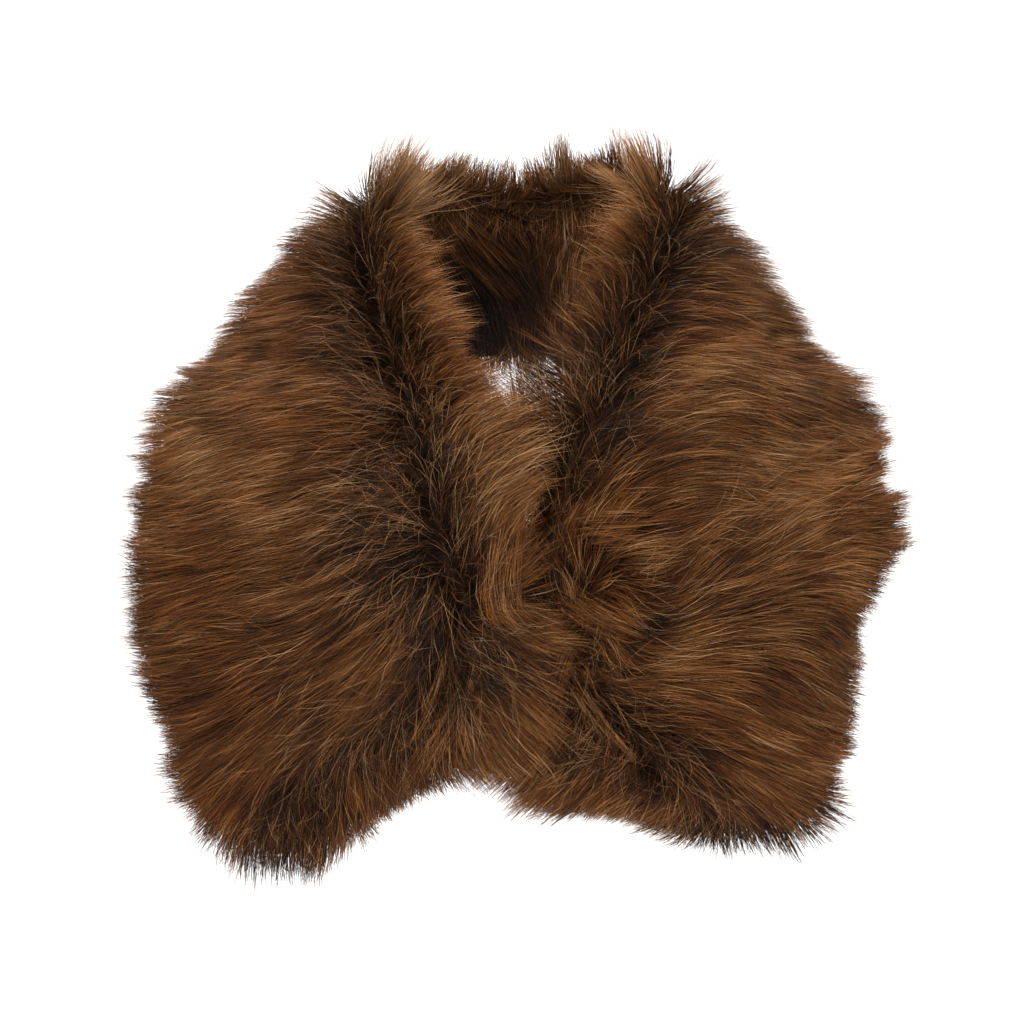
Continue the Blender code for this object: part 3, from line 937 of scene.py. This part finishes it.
def grow(name, stretch, face, region, hairs, width, seed):
    """One stretch's pile on one face. Strays stand off their lock and guard hairs are long and pale."""
    random = np.random.default_rng(seed)
    low, high = STRETCHES[stretch]
    outer = face == "outer"
    at, across = lay_roots(low, high, outer, region, hairs, random)
    root, leaves, lies, length, normal, flow, parted, edge = pile_at(at, across, outer)
    run = run_of(at)
    over = across * width_of(at)

    along, side, _, _, _ = strip_frame(at, across)
    nearest = np.min([far for far, _, _ in edges_at(at, across, along, side)], axis=0)
    ragged = 1 - eased(nearest, *RAGGED_REACH)
    share = random.triangular(*BODY_LENGTHS, hairs) * (1 - ragged)
    share = share + random.triangular(*EDGE_LENGTHS, hairs) * ragged
    stray = random.uniform(0, 1, hairs) < STRAY_SHARE + STRAYS_IN_PARTING * parted + STRAYS_BY_EDGE * edge
    guard = random.uniform(0, 1, hairs) < GUARD_SHARE
    length = length * share * np.where(stray | guard, random.uniform(1.0, 1.2, hairs), 1.0)
    spread = np.radians(np.where(stray, 16 + 30 * parted, 4 + 6 * edge))
    by_parting = np.exp(-((off_parting(at, across) / CROSSING_REACH) ** 2))
    crossing = random.uniform(0, 1, hairs) < CROSSING_SHARE * by_parting * outer
    leaves = np.where(crossing[:, None], turned(leaves, normal, np.full(hairs, math.pi)), leaves)
    lies = np.where(crossing[:, None], turned(lies, normal, np.full(hairs, math.pi)), lies)
    leaves = unit(turned(leaves, normal, random.normal(0, 1, hairs) * spread))
    lies = unit(turned(lies, normal, random.normal(0, 1, hairs) * spread * 1.4))
    lies = unit(lies + normal * (random.normal(0, 0.08, hairs) + np.where(stray, 0.22, 0.0))[:, None])
    bend = np.cross(normal, flow) * (random.normal(0, 0.08, hairs) * length)[:, None]
    points = hair_points(root, leaves, lies, length, bend)

    loose = np.where(stray | crossing, 0.10, np.where(guard, 0.55, 1.0)) * random.uniform(0.65, 1.0, hairs)
    by_neck = edge * (1 - eased(np.abs(at), *PALE_NECK_EDGE))
    by_throat = by_neck_edge("throat", at, over)
    loose = loose * (1 - 0.15 * edge - 0.30 * by_neck) * (1 - 0.35 * by_throat)
    points, lock_tint = gather(points, at, across, outer, loose, len(LOCKS) - 1)
    points = trimmed(points)

    if outer:
        contrast = np.where(at > SEAM_AT, LEFT_CONTRAST, 1.0)
    else:
        contrast = np.where(np.abs(at) < SEAM_AT, NECK_CONTRAST, 1.0)
    tint = drift("broad_tint", run, over) + drift("fine_tint", run, over) + lock_tint
    tint = BODY_TINT + contrast * tint + random.normal(0, TINT_SPREAD, hairs)
    # Guard hairs and the neck edge are paler, partly with a painted highlight and painted light
    tint = tint - SHORT_SHADE * (1.0 - share) + GUARD_TINT * guard + NECK_EDGE_TINT * by_neck
    # Painted light on the crests, the shoulders and the upper left front, painted shade where the fronts
    # cross, darker low on the fronts
    if outer:
        for near, (shade,) in near_places(PAINTED_LIGHT_AND_SHADE, at, across):
            tint = tint + shade * near
    for near, (_, upright) in near_places(TUFTS, at, across):
        tint = tint + TUFT_TINT * near * max(upright, 0) / FULL_UPRIGHT
    # Painted shade: the hair is darker in the partings and where the pile opens
    tint = tint - PARTED_PAINTED_SHADE * parted
    # Strays across a parting are paler than it, lifted out of its painted shade
    tint = tint + np.where(stray & (parted > 0.2), random.uniform(0.30, 0.92, hairs), 0.0)
    # Painted shade on the inner faces: darker inside the neck and on the under faces of the fronts
    if not outer:
        in_neck = stretch == "neck_stretch"
        painted_shade = painted_neck_shade(across, run, over) if in_neck else LINING_PAINTED_SHADE
        tint = tint - painted_shade + drift("inner_tint", run, over)
        if in_neck:
            # Painted shade deep in the neck, painted light on its streams and at the crests of the rim
            for near, (shade,) in near_places(NECK_PAINTED_LIGHT_AND_SHADE, at, across):
                tint = tint + shade * near
            # Painted light at the very rim, where the neck's painted shade ends
            tint = tint + INNER_RIM_TINT * (1 - eased(over, 0.0, 0.006))
    patch = drift("broad_hue", run, over) + drift("fine_hue", run, over) + random.normal(0, 0.55, hairs)
    russet = patch > 0.1
    twist = random.uniform(-0.9, 0.9, hairs)
    facing = unit(normal + np.cross(flow, normal) * twist[:, None])
    widths = width * random.uniform(0.7, 1.15, hairs) * np.where(stray, 0.75 - 0.25 * parted, 1.0)
    return hair_mesh(name, points, widths, facing, tint, russet)


def front_trees():
    """The two fronts' solids, ready to be asked where the front of the fur is."""
    trees = []
    for node in ("right_front", "left_front"):
        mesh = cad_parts[node].data
        corners = [corner.co.copy() for corner in mesh.vertices]
        trees.append(BVHTree.FromPolygons(corners, [tuple(face.vertices) for face in mesh.polygons]))
    return trees


def on_the_front(trees, x, z, last_y):
    """The depth of the fur's front at a distance across and up, or the last depth where there is none."""
    found = [tree.ray_cast(Vector((x, -1.0, z)), Vector((0.0, 1.0, 0.0)))[0] for tree in trees]
    depths = [place.y for place in found if place is not None]
    return min(depths) if depths else last_y


def values_at(place, places, values):
    """The three columns of values at each place, on a last axis."""
    return np.stack([np.interp(place, places, values[:, k]) for k in range(3)], axis=-1)


def laid_line(trees, points, steps):
    """An even smooth line through the points, on the front of the fur, and its length."""
    x, z = (np.array(points, float) / 1000).T
    place = np.arange(len(points), dtype=float)
    fine = np.linspace(0, len(points) - 1, steps)
    across = blend(np.stack([place, x, z], axis=1), fine)
    depth = []
    last_y = LAID_FIRST_DEPTH
    for fine_x, fine_z in across:
        last_y = on_the_front(trees, fine_x, fine_z, last_y)
        depth.append(last_y)
    depth = np.pad(depth, LAID_SMOOTHING // 2, mode="edge")
    depth = np.convolve(depth, np.ones(LAID_SMOOTHING) / LAID_SMOOTHING, mode="valid")
    line = np.stack([across[:, 0], depth, across[:, 1]], axis=1)
    run = np.concatenate([[0], np.cumsum(np.linalg.norm(np.diff(line, axis=0), axis=1))])
    even = np.linspace(0, run[-1], steps)
    return values_at(even, run, line), run[-1]


def lay_locks(name, stretch, width, seed):
    """The long locks that lie over a front's pile: hairs that follow each other along the lock's line."""
    random = np.random.default_rng(seed)
    trees = front_trees()
    made = []
    tints = []
    for hairs, half_width, tint, line_points in LAID_LOCKS[stretch]:
        line, whole = laid_line(trees, line_points, LAID_STEPS)
        way = unit(np.gradient(line, axis=0))
        side = unit(np.cross(way, np.array([0.0, -1.0, 0.0])))
        clump = np.floor(random.uniform(0, 1, hairs) * hairs / LAID_CLUMP)
        spot = 2 * hashed(clump, 0, seed) - 1
        veer = 2 * hashed(clump, 1, seed) - 1
        length = np.minimum(LAID_LENGTH * random.triangular(0.55, 1.0, 1.25, hairs), whole)
        start = 0.8 * hashed(clump, 2, seed) + 0.2 * random.uniform(0, 1, hairs)
        reach = (start * (whole - 0.6 * length))[:, None] + length[:, None] * HAIR_STEPS[None, :]
        share = np.clip(reach / whole, 0, 1) * (LAID_STEPS - 1)
        grid = np.arange(LAID_STEPS)
        points = values_at(share, grid, line)
        beside = values_at(share, grid, side)
        past = np.maximum(reach - whole, 0)
        points = points + way[-1] * past[:, :, None]
        spread = random.normal(0, LAID_SPREAD, hairs)[:, None] * (1 - 0.6 * HAIR_STEPS[None, :])
        stray = (random.uniform(0, 1, hairs) < LAID_STRAYS) * random.normal(0, 0.7, hairs)
        offset = spot[:, None] + spread + (LAID_VEER * veer + stray)[:, None] * (HAIR_STEPS[None, :] - 0.3)
        offset = offset * half_width / 1000
        points = points + beside * offset[:, :, None]
        depth = LAID_LAYER * hashed(clump, 3, seed) + random.uniform(-0.004, 0.002, hairs)
        sunk = LAID_SINK * (1 - HAIR_STEPS[None, :]) ** 1.3
        points[:, :, 1] += sunk + depth[:, None] + LAID_ARCH * spot[:, None] ** 2
        made.append(points)
        lock_tint = 0.24 * (hashed(clump, 4, seed) - 0.5)
        tints.append(LAID_TINT + tint + lock_tint + random.normal(0, 0.14, hairs))
    points = trimmed(np.concatenate(made))
    tint = np.concatenate(tints)
    count = len(tint)
    twist = random.uniform(-0.8, 0.8, count)
    facing = unit(np.stack([twist, np.full(count, -1.0), 0.3 + 0 * twist], axis=1))
    widths = width * random.uniform(0.7, 1.15, count)
    return hair_mesh(name, points, widths, facing, tint, random.uniform(0, 1, count) < LAID_RUSSETS)


def backing(name, stretch, steps_along, steps_across):
    """The strip's own cloth: a grid shaped to the surface, then given its thickness."""
    low, high = STRETCHES[stretch]
    bpy.ops.mesh.primitive_grid_add(x_subdivisions=steps_along, y_subdivisions=steps_across, size=1)
    cloth = bpy.context.object
    cloth.name = name
    cloth.data.name = name
    flat = np.empty(len(cloth.data.vertices) * 3)
    cloth.data.vertices.foreach_get("co", flat)
    flat = flat.reshape(-1, 3)
    at = low + (flat[:, 0] + 0.5) * (high - low)
    across = flat[:, 1] + 0.5
    _, _, away, _, _ = strip_frame(at, across)
    puckers = drift("pucker", run_of(at), across * width_of(at))
    cloth.data.vertices.foreach_set("co", (surface(at, across) + away * puckers[:, None]).ravel())
    cloth.data.update()
    wall = cloth.modifiers.new("cloth_thickness", "SOLIDIFY")
    wall.thickness = BACKING_THICKNESS
    wall.offset = 0.0
    bpy.ops.object.modifier_apply(modifier=wall.name)
    bpy.ops.object.shade_smooth()
    cloth.select_set(False)
    return cloth


def new_material(name, roughness, gloss):
    """A material with its node tree and its shader, whose roughness and gloss are set."""
    material = bpy.data.materials.new(name)
    material.use_nodes = True
    shader = material.node_tree.nodes["Principled BSDF"]
    shader.inputs["Roughness"].default_value = roughness
    shader.inputs["Specular IOR Level"].default_value = gloss
    return material, material.node_tree, shader


def texture(tree, kind, settings):
    """A node of the given kind with its inputs set."""
    node = tree.nodes.new(kind)
    for name, value in settings.items():
        node.inputs[name].default_value = value
    return node


def ramp(tree, stops, source):
    """The colour that a ramp of stops gives for each value of its source."""
    node = tree.nodes.new("ShaderNodeValToRGB")
    band = node.color_ramp
    while len(band.elements) < len(stops):
        band.elements.new(0.5)
    for element, (place, colour) in zip(band.elements, stops):
        element.position = place
        element.color = (*colour, 1.0)
    tree.links.new(source, node.inputs["Fac"])
    return node.outputs["Color"]


def fur_colour_group():
    """A hair's colour from its own tint, in two hues, and from the place along it, dark at the root."""
    group = bpy.data.node_groups.new("fur_colour", "ShaderNodeTree")
    group.interface.new_socket("Tint", in_out="INPUT", socket_type="NodeSocketFloat")
    group.interface.new_socket("Along", in_out="INPUT", socket_type="NodeSocketFloat")
    group.interface.new_socket("Colour", in_out="OUTPUT", socket_type="NodeSocketColor")
    given = group.nodes.new("NodeGroupInput")
    result = group.nodes.new("NodeGroupOutput")
    tints = [(tint * HUE_WIDTH + BROWN_START, brown) for tint, brown, _ in BODY_TINTS]
    tints += [(tint * HUE_WIDTH + RUSSET_START, russet) for tint, _, russet in BODY_TINTS]
    body = ramp(group, tints, given.outputs["Tint"])
    depth = ramp(group, ALONG_SHADES, given.outputs["Along"])
    node = group.nodes.new("ShaderNodeMix")
    node.data_type = "RGBA"
    node.blend_type = "MULTIPLY"
    node.inputs["Factor"].default_value = 1.0
    group.links.new(body, node.inputs["A"])
    group.links.new(depth, node.inputs["B"])
    group.links.new(node.outputs["Result"], result.inputs["Colour"])
    return group


def fur_material(name, group, roughness):
    """Soft fur whose colour comes from the map of its hairs."""
    material, tree, shader = new_material(name, roughness, 0.06)
    placed = tree.nodes.new("ShaderNodeUVMap")
    placed.uv_map = "OFBake"
    split = tree.nodes.new("ShaderNodeSeparateXYZ")
    colours = tree.nodes.new("ShaderNodeGroup")
    colours.node_tree = group
    tree.links.new(placed.outputs["UV"], split.inputs["Vector"])
    tree.links.new(split.outputs["X"], colours.inputs["Tint"])
    tree.links.new(split.outputs["Y"], colours.inputs["Along"])
    tree.links.new(colours.outputs["Colour"], shader.inputs["Base Color"])
    return material


def backing_material():
    """Dark knitted backing with a fine rib."""
    material, tree, shader = new_material("knitted_backing", 0.9, 0.05)
    place = tree.nodes.new("ShaderNodeTexCoord").outputs["Object"]
    blotch = texture(tree, "ShaderNodeTexNoise", {"Scale": 90.0, "Detail": 4.0})
    rib = texture(tree, "ShaderNodeTexWave", {"Scale": 380.0, "Distortion": 2.0})
    bump = texture(tree, "ShaderNodeBump", {"Strength": 0.4, "Distance": 0.001})
    shade = ramp(tree, BACKING_SHADES, blotch.outputs["Fac"])
    tree.links.new(place, blotch.inputs["Vector"])
    tree.links.new(shade, shader.inputs["Base Color"])
    tree.links.new(place, rib.inputs["Vector"])
    tree.links.new(rib.outputs["Fac"], bump.inputs["Height"])
    tree.links.new(bump.outputs["Normal"], shader.inputs["Normal"])
    return material


def studio():
    """A pale floor that sweeps up into a backdrop, soft light, and the camera at the photograph's angle."""
    bpy.ops.mesh.primitive_plane_add(size=1)
    floor = bpy.context.object
    floor.name = "studio_floor"
    profile = [(-5.0, FLOOR_LEVEL)]
    for k in range(13):
        turn = math.pi / 2 * k / 12
        y = SWEEP_FROM + SWEEP_RADIUS * math.sin(turn)
        z = FLOOR_LEVEL + SWEEP_RADIUS * (1 - math.cos(turn))
        profile.append((y, z))
    profile.append((SWEEP_FROM + SWEEP_RADIUS, 4.5))
    points = [(x, y, z) for y, z in profile for x in (-6.0, 6.0)]
    faces = [(2 * k, 2 * k + 1, 2 * k + 3, 2 * k + 2) for k in range(len(profile) - 1)]
    floor.data.clear_geometry()
    floor.data.from_pydata(points, [], faces)
    floor.data.polygons.foreach_set("use_smooth", [True] * len(faces))
    paper, tree, shader = new_material("studio_paper", 0.95, 0.0)
    grain = texture(tree, "ShaderNodeTexNoise", {"Scale": 3.0})
    tree.links.new(ramp(tree, PAPER_SHADES, grain.outputs["Fac"]), shader.inputs["Base Color"])
    floor.data.materials.append(paper)
    floor.select_set(False)

    world = bpy.data.worlds.new("studio_world")
    bpy.context.scene.world = world
    world.use_nodes = True
    sky = world.node_tree.nodes["Background"]
    sky.inputs["Color"].default_value = (1.0, 1.0, 1.0, 1.0)
    sky.inputs["Strength"].default_value = 0.55

    for name, place, aim, size, power in LIGHTS:
        lamp = bpy.data.lights.new(name, "AREA")
        lamp.shape = "RECTANGLE"
        lamp.size = size[0]
        lamp.size_y = size[1]
        lamp.energy = power
        item = bpy.data.objects.new(name, lamp)
        bpy.context.scene.collection.objects.link(item)
        item.location = place
        item.rotation_euler = (Vector(aim) - Vector(place)).to_track_quat("-Z", "Y").to_euler()


def photo_camera():
    """The photograph's view: from the front and a little above."""
    height = math.radians(CAMERA_HEIGHT)
    lens = bpy.data.cameras.new("photo_camera")
    lens.sensor_width = SENSOR_WIDTH
    lens.lens = SENSOR_WIDTH * CAMERA_REACH / SEEN_WIDTH
    lens.clip_end = 30
    camera = bpy.data.objects.new("photo_camera", lens)
    bpy.context.scene.collection.objects.link(camera)
    way = Vector((0, math.cos(height), -math.sin(height)))
    camera.location = Vector(CAMERA_TARGET) - way * CAMERA_REACH
    camera.rotation_euler = way.to_track_quat("-Z", "Y").to_euler()
    bpy.context.scene.camera = camera
    bpy.context.scene.view_settings.view_transform = "Standard"


def fit(piece, stretch, material):
    """Gives a piece its material, and says what it rides on and the node that it replaces."""
    piece.data.materials.append(material)
    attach(piece, "root")
    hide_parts(stretch)


def main():
    """The camera, every stretch's fur and backing, and the studio."""
    bpy.ops.object.select_all(action="DESELECT")
    photo_camera()
    group = fur_colour_group()
    furs = {
        "right_front": fur_material("right_front_fur", group, 0.55),
        "left_front": fur_material("left_front_fur", group, 0.56),
        "neck_stretch": fur_material("neck_stretch_fur", group, 0.60),
    }
    cloth = backing_material()
    piles = {stretch: [] for stretch in STRETCHES}
    for name, stretch, face, region, hairs, width, seed in PILES:
        piece = grow(name, stretch, face, region, hairs, width, seed)
        fit(piece, stretch, furs[stretch])
        piles[stretch].append(piece)
    for name, stretch, width, seed in LAID_PILES:
        piece = lay_locks(name, stretch, width, seed)
        fit(piece, stretch, furs[stretch])
        piles[stretch].append(piece)
    for stretch, (name, steps_along, steps_across, flat, area) in CUTS.items():
        sheet = backing(name, stretch, steps_along, steps_across)
        fit(sheet, stretch, cloth)
    studio()


main()
